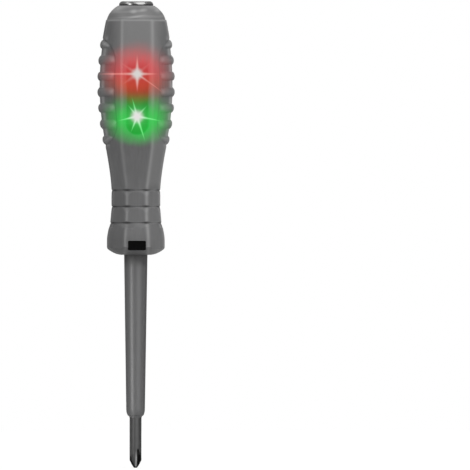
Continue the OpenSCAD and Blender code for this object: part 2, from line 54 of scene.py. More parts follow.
class Tone:
    """A value on a surface. Operators on it add Math nodes to its material."""

    def __init__(self, tree, socket=None):
        self.tree = tree
        self.socket = socket

    def node(self, kind, settings=None, sockets=None, out=0):
        """Adds one node: its settings first, then its sockets' values or links."""
        node = self.tree.nodes.new("ShaderNode" + kind)
        for name, value in (settings or {}).items():
            setattr(node, name, value)
        for key, value in (sockets or {}).items():
            if isinstance(value, Tone):
                self.tree.links.new(value.socket, node.inputs[key])
            else:
                node.inputs[key].default_value = value
        return Tone(self.tree, node.outputs[out]) if len(node.outputs) else None

    def maths(self, operation, *values):
        return self.node("Math", {"operation": operation}, dict(enumerate(values)))

    def __add__(self, other):
        return self.maths("ADD", self, other)

    def __sub__(self, other):
        return self.maths("SUBTRACT", self, other)

    def __rsub__(self, other):
        return self.maths("SUBTRACT", other, self)

    def __mul__(self, other):
        return self.maths("MULTIPLY", self, other)

    def __truediv__(self, other):
        return self.maths("DIVIDE", self, other)

    def __abs__(self):
        return self.maths("ABSOLUTE", self)

    __radd__ = __add__
    __rmul__ = __mul__

    def least(self, other):
        return self.maths("MINIMUM", self, other)

    def most(self, other):
        return self.maths("MAXIMUM", self, other)

    def sine(self):
        return self.maths("SINE", self)

    def fraction(self):
        return self.maths("FRACT", self)

    def reach(self, other):
        """How far a place with these two distances is from where both are zero."""
        return self.maths("SQRT", self * self + other * other)

    def rise(self, low, high):
        """0 below low, 1 above high, and a smooth step between them."""
        return self.node("MapRange", {"interpolation_type": "SMOOTHSTEP"}, {0: self, 1: low, 2: high})

    def fall(self, low, high):
        return 1 - self.rise(low, high)

    def bell(self, width):
        """1 at zero, falling off smoothly on both sides within about this width."""
        power = 0 - (self / width) * (self / width)
        return power.maths("EXPONENT", power)

    def axes(self):
        split = self.node("SeparateXYZ", {}, {0: self})
        return [Tone(self.tree, socket) for socket in split.socket.node.outputs]

    def stretched(self, x, y, z):
        return self.node("VectorMath", {"operation": "MULTIPLY"}, {0: self, 1: (x, y, z)})

    def noise(self, scale, detail):
        """Cloudy values from 0 to 1, with about scale clouds to a millimetre."""
        return self.node("TexNoise", {}, {"Vector": self, "Scale": scale, "Detail": detail})

    def blend(self, low, high):
        """One colour where this value is 0 or less, and another where it is 1 or more."""
        return self.node("Mix", {"data_type": "RGBA"}, {0: self, 6: low, 7: high}, out=2)

    def bump(self, height):
        """A normal from this value, whose full swing stands this many millimetres proud."""
        return self.node("Bump", {}, {"Height": self, "Distance": height * mm, "Strength": 1.0})


def paint(red, green=None, blue=None):
    """A colour from three linear values, or a grey from one."""
    return (red, red if green is None else green, red if blue is None else blue, 1.0)


def new_material(name):
    """An empty material, and the place on its piece in millimetres."""
    material = bpy.data.materials.new(name)
    material.use_nodes = True
    material.node_tree.nodes.clear()
    metres = Tone(material.node_tree).node("TexCoord", out="Object")
    return material, metres.node("VectorMath", {"operation": "SCALE"}, {0: metres, "Scale": 1 / mm})


def finished(material, place, sockets):
    """Closes a material with one Principled shader."""
    shader = place.node("BsdfPrincipled", {}, sockets, out="BSDF")
    place.node("OutputMaterial", {}, {"Surface": shader})
    return material


def steel_with_painted_light():
    """Dark satin steel with lengthwise polishing lines, painted shade in the flutes, on its left edge
    and nose, and painted highlights on the wing ridges and shank.
    """
    material, place = new_material("blade_steel")
    lines = place.stretched(1, 1, 0.06).noise(9.0, 3.0)
    clouds = place.noise(0.45, 4.0)
    x, y, z = place.axes()
    shadow = paint(0.012)
    cone = blade_cone_r + z.least(blade_cone_h) * blade_cone_slope
    sunk = cone - x.reach(y)
    flute = sunk.rise(0.02, 0.12) * z.fall(0.85 * flute_l, flute_l)
    # Painted shade: the right half of each flute is painted nearly black, the left half dark grey
    flute_shade = x.fall(-0.4, 0.2).blend(shadow, paint(0.16))
    wing_x = x * math.cos(wing_turn) + y * math.sin(wing_turn)
    wing_y = y * math.cos(wing_turn) - x * math.sin(wing_turn)
    # Painted highlight: bright metal along the wing ridges above the nose
    ridge = abs(wing_x).least(abs(wing_y)).bell(0.2) * sunk.fall(0.02, 0.3)
    ridge = ridge * z.rise(0.3, 0.6) * z.fall(2.6, 5.6)
    ridge_highlight = ridge * (0.8 + 0.5 * clouds)
    # Painted shade on the right-hand flute faces, along the left edge and on the nose
    right_side_shade = wing_x.rise(0.2, 0.36) * (wing_x - 1.3 * z.fall(2.6, 4.2)).fall(0.75, 1.1)
    right_side_shade = right_side_shade * z.fall(5.4, 6.3)
    left_edge_shade = (wing_x + cone).fall(0.3, 0.8) * z.fall(2.8, 4.4)
    nose_shade = z.fall(0.2, 0.5)
    steel = (0.5 * lines + 0.5 * clouds).rise(0.3, 0.7).blend(paint(0.15), paint(0.20))
    # Painted highlight down the middle of the shank, a little right of the axis
    steel = (0.6 * (x - 0.3).bell(0.5)).blend(steel, paint(0.30))
    steel = flute.blend(steel, flute_shade)
    steel = (right_side_shade + left_edge_shade + nose_shade).blend(steel, shadow)
    return finished(material, place, {
        "Base Color": ridge_highlight.blend(steel, paint(0.85)),
        "Metallic": 1.0,
        "Roughness": 0.34 + 0.10 * lines - 0.06 * ridge_highlight,
        "Normal": lines.bump(0.004)})


def merged_copy(node):
    """A copy of a CAD node's mesh, with the triangles of each flat face joined."""
    bm = bmesh.new()
    bm.from_mesh(nodes[node].data)
    bmesh.ops.remove_doubles(bm, verts=bm.verts[:], dist=weld_gap)
    bmesh.ops.dissolve_limit(bm, angle_limit=flat_angle, verts=bm.verts[:], edges=bm.edges[:])
    return bm


def round_edges(bm, width):
    """Rounds every edge that is sharper than the smooth walls."""
    sharp = [e for e in bm.edges if len(e.link_faces) == 2 and e.calc_face_angle() > sharp_angle]
    bmesh.ops.bevel(bm, geom=sharp, offset=width, offset_type="OFFSET", segments=2, profile=0.5,
                    affect="EDGES", material=-1, clamp_overlap=True)


def make_piece(name, bm, body, node, material):
    """A finished mesh in place of a CAD node, on the body that carries it."""
    for face in bm.faces:
        face.smooth = True
    for edge in bm.edges:
        edge.smooth = len(edge.link_faces) == 2 and edge.calc_face_angle() < sharp_angle
    mesh = bpy.data.meshes.new(name)
    bm.to_mesh(mesh)
    bm.free()
    mesh.materials.append(material)
    piece = bpy.data.objects.new(name, mesh)
    bpy.context.scene.collection.objects.link(piece)
    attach(piece, body)
    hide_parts(node)


blade_bm = merged_copy("blade")
nose = [e for e in blade_bm.edges if max(v.co.z for v in e.verts) < 0.01 * mm]
bmesh.ops.bevel(blade_bm, geom=nose, offset=nose_round, offset_type="OFFSET", segments=3, profile=0.5,
                affect="EDGES", material=-1, clamp_overlap=True)
round_edges(blade_bm, blade_edge_round)
for vert in blade_bm.verts:
    height = min(1, max(0, vert.co.z / nose_h))
    drawn_in = nose_share + (1 - nose_share) * height ** nose_bow
    vert.co.x *= drawn_in
    vert.co.y *= drawn_in
make_piece("cross_point_blade", blade_bm, "handle_assembly", "blade", steel_with_painted_light())

# Insulating sleeve: a tapered tube of glossy grey plastic, moulded over the shank and
# rounded at its lower end. It is seated in the foot of the handle and keeps all but the
# last of the blade from touching anything live.
sleeve_low, sleeve_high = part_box("insulating_sleeve")
blade_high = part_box("blade")[1]
handle_low, handle_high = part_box("handle")
foot_z = handle_low.z
fit_gap = 0.05 * mm
sleeve_bore_r, sleeve_end_r, sleeve_top_r = blade_high.x + fit_gap, 2.9 * mm, sleeve_high.x - fit_gap
sleeve_nose_h, sleeve_lip, sleeve_lip_h = 2.3 * mm, 0.1 * mm, 0.4 * mm
turning_steps = 96


def turned(outline, steps=turning_steps):
    """Spins a closed outline of (radius, height) round the tool's axis."""
    bm = bmesh.new()
    ring = [bm.verts.new((r, 0, z)) for r, z in outline]
    edges = [bm.edges.new(pair) for pair in zip(ring, ring[1:] + ring[:1])]
    bmesh.ops.spin(bm, geom=ring + edges, cent=(0, 0, 0), axis=(0, 0, 1), dvec=(0, 0, 0),
                   angle=2 * math.pi, steps=steps, use_merge=True, use_duplicate=False)
    bmesh.ops.remove_doubles(bm, verts=bm.verts[:], dist=2 * weld_gap)
    bmesh.ops.recalc_face_normals(bm, faces=bm.faces[:])
    return bm


def arc(r, z, wide, tall, start, end, steps):
    """Points of a round corner about (r, z), between two angles in degrees."""
    angles = [math.radians(start + (end - start) * i / steps) for i in range(steps + 1)]
    return [(r + wide * math.cos(a), z + tall * math.sin(a)) for a in angles]


def sleeve_grey():
    """Glossy moulded plastic with a faint orange peel and a few scratches, a painted highlight left of
    its middle, and painted shade on its right, edges and under the collar.
    """
    material, place = new_material("sleeve_grey")
    peel = place.stretched(1, 1, 0.35).noise(1.6, 2.0)
    clouds = place.stretched(1, 1, 0.25).noise(0.5, 3.0)
    scratches = place.stretched(3, 3, 0.15).noise(4.0, 1.0).rise(0.62, 0.72)
    x, y, z = place.axes()
    # Painted shadow under the handle's foot
    under = z.rise(foot_z / mm - 4.5, foot_z / mm - 0.5)
    facing = place.node("LayerWeight", {}, {"Blend": 0.5}, out="Facing")
    # Painted highlight: a pale line on the front, left of the middle, leaning with height
    highlight_left = 0.75 + 0.0128 * z
    highlight_stripe = (x + highlight_left).bell(0.42) * y.fall(-1.2, -0.4) * z.fall(25, 62)
    grey = clouds.blend(paint(0.155, 0.155, 0.157), paint(0.175, 0.175, 0.177))
    grey = (0.5 * highlight_stripe).blend(grey, paint(0.34))
    # Painted shade towards the edges and on the right side, and the painted shadow under the foot
    shaded = 0.3 * facing.rise(0.15, 0.8) + 0.12 * x.rise(-0.6, 0.6) + 0.36 * x.rise(0.5, 2.9)
    shaded = (shaded + 0.95 * under).least(0.92)
    return finished(material, place, {
        "Base Color": shaded.blend(grey, paint(0.06)),
        "Specular IOR Level": 1.0,
        "Roughness": 0.34 + 0.03 * clouds + 0.06 * scratches + 0.3 * under,
        "Normal": peel.bump(0.001)})


sleeve_outline = [
    (sleeve_bore_r, sleeve_low.z + sleeve_lip),
    (sleeve_bore_r + 0.4 * sleeve_lip, sleeve_low.z)]
sleeve_outline += arc(sleeve_bore_r + sleeve_lip, sleeve_low.z + sleeve_lip_h + sleeve_nose_h,
                      sleeve_end_r - sleeve_bore_r - sleeve_lip, sleeve_nose_h, -90, 0, 14)
sleeve_outline += [(sleeve_top_r, foot_z), (sleeve_top_r, sleeve_high.z),
                   (sleeve_bore_r, sleeve_high.z)]
make_piece("grey_sleeve", turned(sleeve_outline), "handle_assembly", "insulating_sleeve",
           sleeve_grey())

# Handle: one hollow moulding of smoky plastic, with eight facets whose corners are
# rounded by the mould, two ribbed side panels, two neck rings, a dished foot and a
# domed top with a threaded mouth. Both lamps shine through it from inside, as a glow
# painted on its surface.
collar_w, throat_w, neck_w = 17.7 * mm, 15.7 * mm, 14.95 * mm
grip_foot_w, belly_w, head_w = 18.25 * mm, 2 * handle_high.y, 18.4 * mm
flare_z, throat_z, ring_z, neck_z = 70.9 * mm, 76.1 * mm, 81.15 * mm, 86.2 * mm
grip_z, belly_z, panel_top_z, head_z = 98.8 * mm, 118.5 * mm, 134.0 * mm, 138.8 * mm
top_z, ledge_h, ledge_corner, flare_bow = handle_high.z, 0.6 * mm, 0.05 * mm, 1.4
dome_r, mouth_r, dome_lean = 9.125 * mm, 5.65 * mm, math.radians(10)
dish_r, dish_h = 4.2 * mm, 2.4 * mm
rib_count, rib_pitch, rib_h, rib_rise = 7, 4.98 * mm, 2.8 * mm, 0.75 * mm
rib_taper, rib_round = 0.45, 0.6
panel_r, panel_depth, panel_edge = 9.1 * mm, 0.2 * mm, 0.22 * mm
groove_below, groove_above, groove_depth, groove_round = 1.6 * mm, 0.5 * mm, 0.15 * mm, 0.12 * mm
slit_h, slit_depth = 0.55 * mm, 0.03 * mm
groove_levels = [z - 0.2 * mm for z in (throat_z, ring_z, neck_z)]
corner_share, corner_blend = 1.063, 0.085
facet_share, grip_facet, facet_swell = 0.414, 4.7 * mm, 0.05
thread_bore_r, cell_bore_r, spring_bore_r = 4.45 * mm, 4.3 * mm, 2.0 * mm
seat_chamfer, mouth_chamfer, mouth_z = 0.2 * mm, 0.3 * mm, 137.0 * mm
chamber_r, chamber_z, chamber_top_z = 3.45 * mm, 103.9 * mm, 125.3 * mm
window_gap, window_corner_r = 0.03 * mm, 0.35 * mm
blank_r, blank_round, handle_steps = 0.62 * belly_w, 0.1 * mm, 240


def half_width(z):
    """Half the width across the flats at one height, from the foot to the ledge."""
    def bowed(low, high, share):
        return (low + (high - low) * share ** flare_bow) / 2
    if z <= throat_z:
        return bowed(collar_w, throat_w, max(0, z - flare_z) / (throat_z - flare_z))
    if z <= neck_z:
        return bowed(neck_w, throat_w, max(0, ring_z - z) / (ring_z - throat_z))
    if z <= grip_z:
        return bowed(neck_w, grip_foot_w, (z - neck_z) / (grip_z - neck_z))
    end_w, end_z = (grip_foot_w, grip_z) if z < belly_z else (head_w, head_z)
    return (belly_w - (belly_w - end_w) * ((z - belly_z) / (end_z - belly_z)) ** 2) / 2


def front_facet(z):
    """Half the width of the front facet, which widens from the neck to the grip."""
    if z < neck_z:
        return facet_share * half_width(z)
    if z < grip_z:
        neck_facet = facet_share * neck_w / 2
        return neck_facet + (grip_facet - neck_facet) * (z - neck_z) / (grip_z - neck_z)
    return grip_facet * (1 + facet_swell * (1 - ((z - belly_z) / (belly_z - grip_z)) ** 2))


def faceted_r(z, angle):
    """Distance from the axis to the eight-sided wall with its rounded corners."""
    half = half_width(z)
    slanted = (half + front_facet(z)) / math.sqrt(2)
    across, along = abs(math.cos(angle)), abs(math.sin(angle))
    flat_r = half / max(across, along)
    slant_r = slanted * math.sqrt(2) / (across + along)
    return smaller(flat_r, slant_r, corner_blend * half)


def smaller(a, b, round_r):
    """The smaller of two distances, with a rounded change from one to the other."""
    share = min(1, max(0, 0.5 + 0.5 * (b - a) / round_r))
    return b + (a - b) * share - round_r * share * (1 - share)


def groove_r(z):
    """Radius of the grooves above, between and below the neck rings. Past the wall elsewhere."""
    for centre in groove_levels:
        off = abs(z - centre) / (groove_above if z > centre else groove_below)
        if off < 1:
            slit = slit_depth * max(0, 1 - 2 * abs(z - centre) / slit_h)
            sides = half_width(centre) * (1 + (corner_share - 1) * off)
            return sides - groove_depth * (1 - off) ** 1.5 - slit
    return belly_w


def panel_relief(y, z):
    """How far a side panel's ribs stand out of the facet, or its floor lies under it."""
    core = min(max(z, grip_z + panel_r), panel_top_z - panel_r)
    inside = panel_r - math.hypot(y, z - core)
    share = min(1, max(0, (inside + panel_edge) / (2 * panel_edge)))
    floor = -panel_depth * share * share * (3 - 2 * share)
    middle = (grip_z + panel_top_z) / 2
    number = min(max(round((z - middle) / rib_pitch), -(rib_count // 2)), rib_count // 2)
    off = (z - middle - number * rib_pitch) / (rib_h / 2)
    end = max(0, 1 - inside / (rib_h / 2))
    rise = rib_rise * (1 - rib_taper * min(1, max(0, 2 * abs(y) / panel_r - 1)))
    return floor + rise * max(0, 1 - off * off - end * end) ** rib_round


def even(start, end, count):
    """Evenly spaced values from the start up to the end, without the end."""
    return [start + (end - start) * i / count for i in range(count)]


def handle_outline():
    """The hollow moulding's outline, round its foot, wall, dome, mouth and bores."""
    rim_r = corner_share * collar_w / 2
    seat_r = sleeve_high.x + fit_gap
    foot = [(seat_r, sleeve_high.z), (seat_r, foot_z + seat_chamfer), (seat_r + seat_chamfer, foot_z)]
    dish = [(dish_r + (rim_r - dish_r) * t, foot_z + dish_h * t * t) for t in even(0.02, 1, 14)]
    heights = []
    wall_z = foot_z + dish_h
    for centre in groove_levels:
        slit_low_z, slit_high_z = centre - slit_h / 2, centre + slit_h / 2
        heights += even(wall_z, centre - groove_below, 8)
        heights += even(centre - groove_below, slit_low_z, 11)
        heights += even(slit_low_z, slit_high_z, 8)
        wall_z = centre + groove_above
        heights += even(slit_high_z, wall_z, 5)
    ribs_low_z, ribs_high_z = grip_z - 2 * panel_edge, panel_top_z + 2 * panel_edge
    heights += even(wall_z, ribs_low_z, 16)
    heights += even(ribs_low_z, ribs_high_z, 127)
    heights += even(ribs_high_z, head_z - ledge_h, 8)
    heights += even(head_z - ledge_h, head_z, 4)
    wall = [(blank_r, z) for z in heights]
    ledge = [(blank_r, head_z - ledge_corner)] + [(r, head_z) for r in even(0.52 * head_w, dome_r, 4)]
    full_r = dome_r / math.cos(dome_lean)
    end_lean = math.acos(mouth_r / full_r)
    rise = (top_z - head_z) / (math.sin(end_lean) - math.sin(dome_lean))
    dome = [(full_r * math.cos(a), head_z + rise * (math.sin(a) - math.sin(dome_lean)))
            for a in even(dome_lean, end_lean, 16)]
    mouth = [(mouth_r, top_z), (thread_bore_r + mouth_chamfer, top_z),
             (thread_bore_r, top_z - mouth_chamfer), (thread_bore_r, mouth_z), (cell_bore_r, mouth_z),
             (cell_bore_r, chamber_top_z), (chamber_r, chamber_top_z)]
    chamber = arc(0, chamber_z + chamber_r, chamber_r, chamber_r, 0, -55, 8)
    shank = [(spring_bore_r, chamber[-1][1]), (spring_bore_r, blade_high.z),
             (sleeve_bore_r, blade_high.z), (sleeve_bore_r, sleeve_high.z)]
    return foot + dish + wall + ledge + dome + mouth + chamber + shank


def push_to_facets(bm):
    """Draws the spun outer wall in to the facets, grooves and ribbed panels."""
    for vert in bm.verts:
        x, y, z = vert.co
        limit = math.hypot(x, y)
        if limit < 1.1 * cell_bore_r or z > head_z + weld_gap:
            continue
        angle = math.atan2(y, x)
        r = smaller(faceted_r(z, angle), groove_r(z), groove_round)
        if grip_z - panel_edge < z < panel_top_z + panel_edge:
            r += panel_relief(r * math.sin(angle), z)
        r = smaller(r, limit, blank_round)
        vert.co = (r * math.cos(angle), r * math.sin(angle), z)


def cut(bm, name, low, high, corner_r=0.0):
    """Cuts a box out of a mesh, with the four edges that run inward rounded where asked."""
    tool_bm = bmesh.new()
    bmesh.ops.create_cube(tool_bm, size=1.0)
    for vert in tool_bm.verts:
        vert.co = [low[i] + (vert.co[i] + 0.5) * (high[i] - low[i]) for i in range(3)]
    if corner_r:
        inward = [e for e in tool_bm.edges
                  if abs(e.verts[0].co.y - e.verts[1].co.y) > 0.5 * (high[1] - low[1])]
        bmesh.ops.bevel(tool_bm, geom=inward, offset=corner_r, offset_type="OFFSET", segments=5,
                        profile=0.5, affect="EDGES", material=-1)
    tool_mesh = bpy.data.meshes.new(name + "_cutter")
    tool_bm.to_mesh(tool_mesh)
    tool_bm.free()
    tool = bpy.data.objects.new(name + "_cutter", tool_mesh)
    body_mesh = bpy.data.meshes.new(name + "_uncut")
    bm.to_mesh(body_mesh)
    bm.free()
    body = bpy.data.objects.new(name + "_uncut", body_mesh)
    for thing in (tool, body):
        bpy.context.scene.collection.objects.link(thing)
    knife = body.modifiers.new("cut", "BOOLEAN")
    knife.operation = "DIFFERENCE"
    knife.solver = "EXACT"
    knife.object = tool
    cut_bm = bmesh.new()
    cut_bm.from_object(body, bpy.context.evaluated_depsgraph_get())
    for thing in (tool, body):
        mesh = thing.data
        bpy.data.objects.remove(thing)
        bpy.data.meshes.remove(mesh)
    return cut_bm


# Painted glow of what shows through the wall: both lamps, how far each lights it, and the lamp chamber
lamp_x, red_z, green_z = -0.1, 121.97, 108.83
red_reaches, green_reaches = (3.0, 11.3), (3.9, 10.6)
red_starts, green_ends = (107.5, 119.0), (107.0, 118.5)
chamber_side, chamber_foot_z, chamber_head = (2.7, 3.9), 106.6, (121.0, 127.0)

# Painted rays of light, a star round each lamp: angle, length, width and strength
red_rays = [
    (90, 6.4, 0.52, 0.85), (270, 6.2, 0.55, 0.95), (180, 13.0, 0.38, 0.85), (0, 7.2, 0.45, 0.85),
    (-35, 11.0, 0.30, 0.6), (146, 6.8, 0.6, 0.25), (216, 6.2, 0.7, 0.25), (40, 6.0, 0.6, 0.15)]
green_rays = [
    (105.5, 6.6, 0.35, 0.75), (129, 5.0, 0.42, 0.65), (47.5, 5.0, 0.42, 0.6), (193, 6.6, 0.38, 0.95),
    (-10.3, 8.4, 0.38, 0.95), (249, 5.8, 0.38, 0.9), (-71.6, 9.0, 0.38, 0.95)]

# Painted gleams of the cap's thread under the dome, and painted shadows: x, z, width, height and
# strength
thread_gleams = [
    (-6.2, 142.3, 1.6, 0.9, 0.8), (-1.1, 141.3, 1.0, 0.6, 0.9), (1.8, 141.8, 1.1, 0.5, 0.6),
    (-0.5, 139.7, 2.6, 0.3, 0.7), (6.6, 142.0, 0.8, 1.0, 0.7), (4.2, 141.4, 1.0, 0.9, -0.6),
    (-4.6, 140.1, 3.0, 0.3, -0.5)]
gleam_slope, thread_seen_pitch = 0.16, 1.9


def star(across, up, rays):
    """The painted rays of one lamp, from the distances across and up from it."""
    light = 0.0
    for degrees, length, width, strength in rays:
        lean = math.radians(degrees)
        along = (across * math.cos(lean) + up * math.sin(lean)) / length
        off = up * math.cos(lean) - across * math.sin(lean)
        taper = along.fall(-0.3, 1.0)
        beam = (off / (0.25 + taper)).bell(width) * along.fall(0.5, 1.0) * along.rise(0.0, 0.08)
        light = light + strength * beam
    return light.least(1.0)


def lamp_light(x, z, patches, spread):
    """How strongly the painted glow of the red and the green lamp lights the wall, from 0 to 1."""
    across = x - lamp_x
    red = (across / 1.12).reach(z - red_z) + 2.2 * patches
    green = ((across - 0.5) / 1.15).reach(z - green_z - 0.4) + 2.2 * patches
    red = red.fall(*red_reaches) * spread * (z + patches).rise(*red_starts)
    green = green.fall(*green_reaches) * spread * (z + patches).fall(*green_ends)
    return red.least(1.0), green.least(1.0)


def lit_chamber(x, z, patches):
    """The lamp chamber's own shape, which the painted glow fills: its straight sides and its round
    lower end.
    """
    over_foot = (z - chamber_foot_z).rise(-0.2, 0.2)
    sides = abs(x).fall(*chamber_side) * over_foot * z.fall(*chamber_head)
    round_end = x.reach(z - chamber_foot_z).fall(*chamber_side) * (1 - over_foot)
    return sides.most(round_end) * (0.9 + 1.2 * patches).least(1.0)


def facet_marks(x, y, z):
    """Painted highlights on the corners of the facets and on the ledge under the dome, and a mask of
    the slanted facets.
    """
    climb = ((z - neck_z / mm) / 13).most(0.0).least(1.0)
    facet = 3.1 + 1.65 * climb + 0.5 * z.fall(70, 78)
    past_corner = abs(x).least(abs(y)) - facet
    over_ledge = z - head_z / mm
    # Painted highlight along the facets' corners
    corner = past_corner.bell(0.55) * over_ledge.fall(-0.4, -0.1)
    # The last value is a painted highlight along the ledge under the dome
    return corner, past_corner.rise(-0.2, 0.7), (over_ledge + 0.18).bell(0.28)


def groove_marks(x, y, z, slant, right):
    """Painted shade in the grooves by the neck rings, and painted light on the parts washed with
    light.
    """
    by_corner = (abs(x).least(abs(y)) - 2.95).bell(0.8)
    groove_line = sum((z - level / mm).bell(0.3) for level in groove_levels)
    # Painted shade on the left slanted facets and near the corners, painted light on the right slanted
    # facets
    dark = groove_line * (0.3 * slant * (1 - right) + 0.9 * by_corner)
    return dark, groove_line * slant * right * (1 - by_corner)


def panel_marks(x, y, z):
    """Painted shade in the side panels' hollows, round their rims and on the ribs' bumps, and painted
    highlights on the rib ends, rib crests and a strip by the outline.
    """
    ribbed = z.rise(98.5, 101) * z.fall(132, 134.5)
    bow = (z - belly_z / mm) / 20
    past_wall = abs(x) - (0.5 * belly_w / mm - 2.05 * bow * bow)
    core = z.most((grip_z + panel_r) / mm).least((panel_top_z - panel_r) / mm)
    past_panel = y.reach(z - core) - panel_r / mm
    rib_place = (z - (grip_z + panel_top_z) / (2 * mm)) / (rib_pitch / mm)
    off_rib = abs((rib_place + 0.5).fraction() - 0.5)
    between = off_rib.rise(0.2, 0.32)
    # Painted shade between the ribs and round the panels' rims
    hollow = 0.22 * between * past_panel.fall(-0.3, 0.1)
    rim = (past_panel - 0.05).bell(0.22)
    # Painted shade over the ribs' bumps by the outline, which dims the painted glow
    bump_shade = past_wall.rise(-0.7, 0.1) * ribbed
    # Painted highlights: glints on the rib ends, the rib crests and a pale strip by the outline
    glint = (past_panel + 0.6).bell(0.55) * off_rib.fall(0.04, 0.22) * ribbed
    crest_highlight = off_rib.fall(0.12, 0.3) * ribbed * past_panel.fall(-0.7, -0.1)
    strip_highlight = (past_wall + 0.8).bell(0.5) * ribbed * between
    return hollow, rim, bump_shade, glint, crest_highlight, strip_highlight


def seen_thread(x, y, z, patches, front):
    """The cap's thread as the dome shows it, painted as pale bands with painted gleams and shadows."""
    over_ledge = z - head_z / mm
    turn = y.maths("ARCTAN2", y, x) / (2 * math.pi)
    band = ((turn - z / thread_seen_pitch) * (2 * math.pi) + 4.0 * patches).sine()
    thread = 0.25 * band.rise(-0.3, 1.0) * over_ledge.rise(0.1, 0.5) * over_ledge.fall(2.8, 4.0)
    for gleam_x, gleam_z, wide, tall, strength in thread_gleams:
        up = z - gleam_z - gleam_slope * (x - gleam_x)
        thread = thread + strength * front * ((x - gleam_x) / wide).reach(up / tall).bell(1.0)
    return thread


def lamp_glow(x, z, front, red, green, overlap, chamber, shaded):
    """The painted glow of both lamps, dimmed by the painted shade, with a painted star at each lamp.
    """
    across, red_up, green_up = x - lamp_x, z - red_z, z - green_z
    red_reach, green_reach = across.reach(red_up), across.reach(green_up)
    red_light = z.rise(116.5, 123.5).blend(paint(0.52, 0.050, 0.0), paint(0.54, 0.030, 0.034))
    red_ray_light = red_reach.rise(1.0, 4.5).blend(
        paint(0.72, 0.50, 0.47), paint(0.76, 0.22, 0.19))
    green_ray_light = green_reach.rise(1.2, 4.0).blend(
        paint(0.55, 0.90, 0.60), paint(0.15, 0.85, 0.22))
    glow = paint(0.0)
    for share, light in [
            (red, red_light),
            (green, paint(0.0, 0.51, 0.040)),
            (0.7 * overlap * chamber, paint(0.17, 0.11, 0.0)),
            (0.66 * chamber * green, paint(0.0, 0.27, 0.008)),
            (0.45 * chamber * red, paint(0.44, 0.014, 0.010)),
            (shaded, paint(0.0)),
            (front * star(across, red_up, red_rays), red_ray_light),
            (0.35 * front * green_reach.bell(2.3), paint(0.30, 0.80, 0.36)),
            (front * star(across, green_up, green_rays), green_ray_light),
            (front * red_reach.fall(0.3, 2.3), paint(0.64, 0.62, 0.60)),
            (front * green_reach.fall(0.3, 2.6), paint(0.76, 0.73, 0.72))]:
        glow = share.blend(glow, light)
    return glow


def smoky_plastic():
    """Smoky plastic with a painted glow of both lamps, painted highlights on its corners and ledge,
    painted gleams of the thread, and painted light and shade.
    """
    material, place = new_material("smoky_plastic")
    x, y, z = place.axes()
    clouds = place.stretched(1, 1, 0.5).noise(0.3, 3.0)
    patches = place.noise(0.22, 2.0) - 0.5
    streaks = place.stretched(1.6, 1.6, 0.08).noise(1.1, 2.0) - 0.5
    grain = place.noise(6.0, 2.0)
    facing = place.node("LayerWeight", {}, {"Blend": 0.5}, out="Facing")
    front = y.fall(-3.0, 3.0)
    right = x.rise(-1, 1)
    over_ledge = z - head_z / mm

    red, green = lamp_light(x, z, patches, (0.25 + 0.75 * front) * (1 + 0.35 * streaks))
    lit = red.most(green)
    overlap = (2.4 * red).least(1.0) * (2.4 * green).least(1.0)
    chamber = front * lit_chamber(x, z, patches)
    corner, slant, ledge = facet_marks(x, y, z)
    groove_shade, groove_light = groove_marks(x, y, z, slant, right)
    hollow, rim, bump_shade, glint, crest_highlight, strip_highlight = panel_marks(x, y, z)

    pale_head = z.rise(120, 128) * abs(x).fall(5.2, 8.6) * over_ledge.fall(-0.6, -0.1)
    under_dome = over_ledge.rise(-0.1, 0.2)
    # Painted highlight round the dome's outline
    dome_edge_highlight = facing.rise(0.35, 0.8) * over_ledge.rise(1.7, 3.7)
    # Painted light on the slanted facets of the taper, mostly on the right, painted shade on the left
    # slanted facets of the collar, and a painted highlight on the foot's right edge
    lower_slant_light = slant * z.rise(86.2, 89.0) * z.fall(99, 106)
    collar_slant_shade = slant * (1 - right) * z.fall(85.8, 86.4)
    foot_edge_highlight = x.rise(3.5, 5.0) * z.fall(67.6, 68.3)
    # The base darkened nearly to black under the painted glow, so the glow sets the colour
    glow_darkening = 0.65 * red + 0.7 * green + 0.4 * overlap + 0.66 * chamber * (4 * lit).least(1.0)

    # The plastic's own grey, and one layer after another on it, most of them painted highlights and
    # shade: how strong, and how pale
    smoke_and_light = (clouds + 1.2 * streaks).blend(paint(0.142, 0.142, 0.144), paint(0.182, 0.182, 0.184))
    for share, grey in [
            (0.16 * z.fall(94, 104), 0.24),
            (0.8 * pale_head + 0.8 * under_dome, 0.25),
            ((0.02 + 0.6 * right) * lower_slant_light, 0.24),
            (0.2 * collar_slant_shade, 0.09),
            ((0.32 + 0.5 * right) * corner * (1 - 0.7 * lit), 0.34),
            (0.5 * foot_edge_highlight, 0.34),
            (ledge, 0.36),
            (0.45 * groove_light, 0.34),
            (0.9 * groove_shade + 0.45 * hollow + 0.3 * rim, 0.03),
            (0.8 * strip_highlight, 0.36),
            (seen_thread(x, y, z, patches, front), 0.46),
            (0.5 * dome_edge_highlight, 0.50),
            (0.3 * crest_highlight, 0.30),
            ((0.45 * front * glint * (0.4 + 1.2 * clouds)).least(0.8), 0.38),
            (glow_darkening.least(0.94), 0.004)]:
        smoke_and_light = share.blend(smoke_and_light, paint(grey))
    # Painted shade that dims the painted glow
    shaded = 0.4 * hollow + 0.3 * bump_shade + 0.25 * rim
    return finished(material, place, {
        "Base Color": smoke_and_light,
        "Roughness": 0.36 + 0.08 * grain,
        "Normal": (0.7 * clouds + 0.02 * grain).bump(0.05),
        "Emission Color": lamp_glow(x, z, front, red, green, overlap, chamber, shaded),
        "Emission Strength": 1.0})


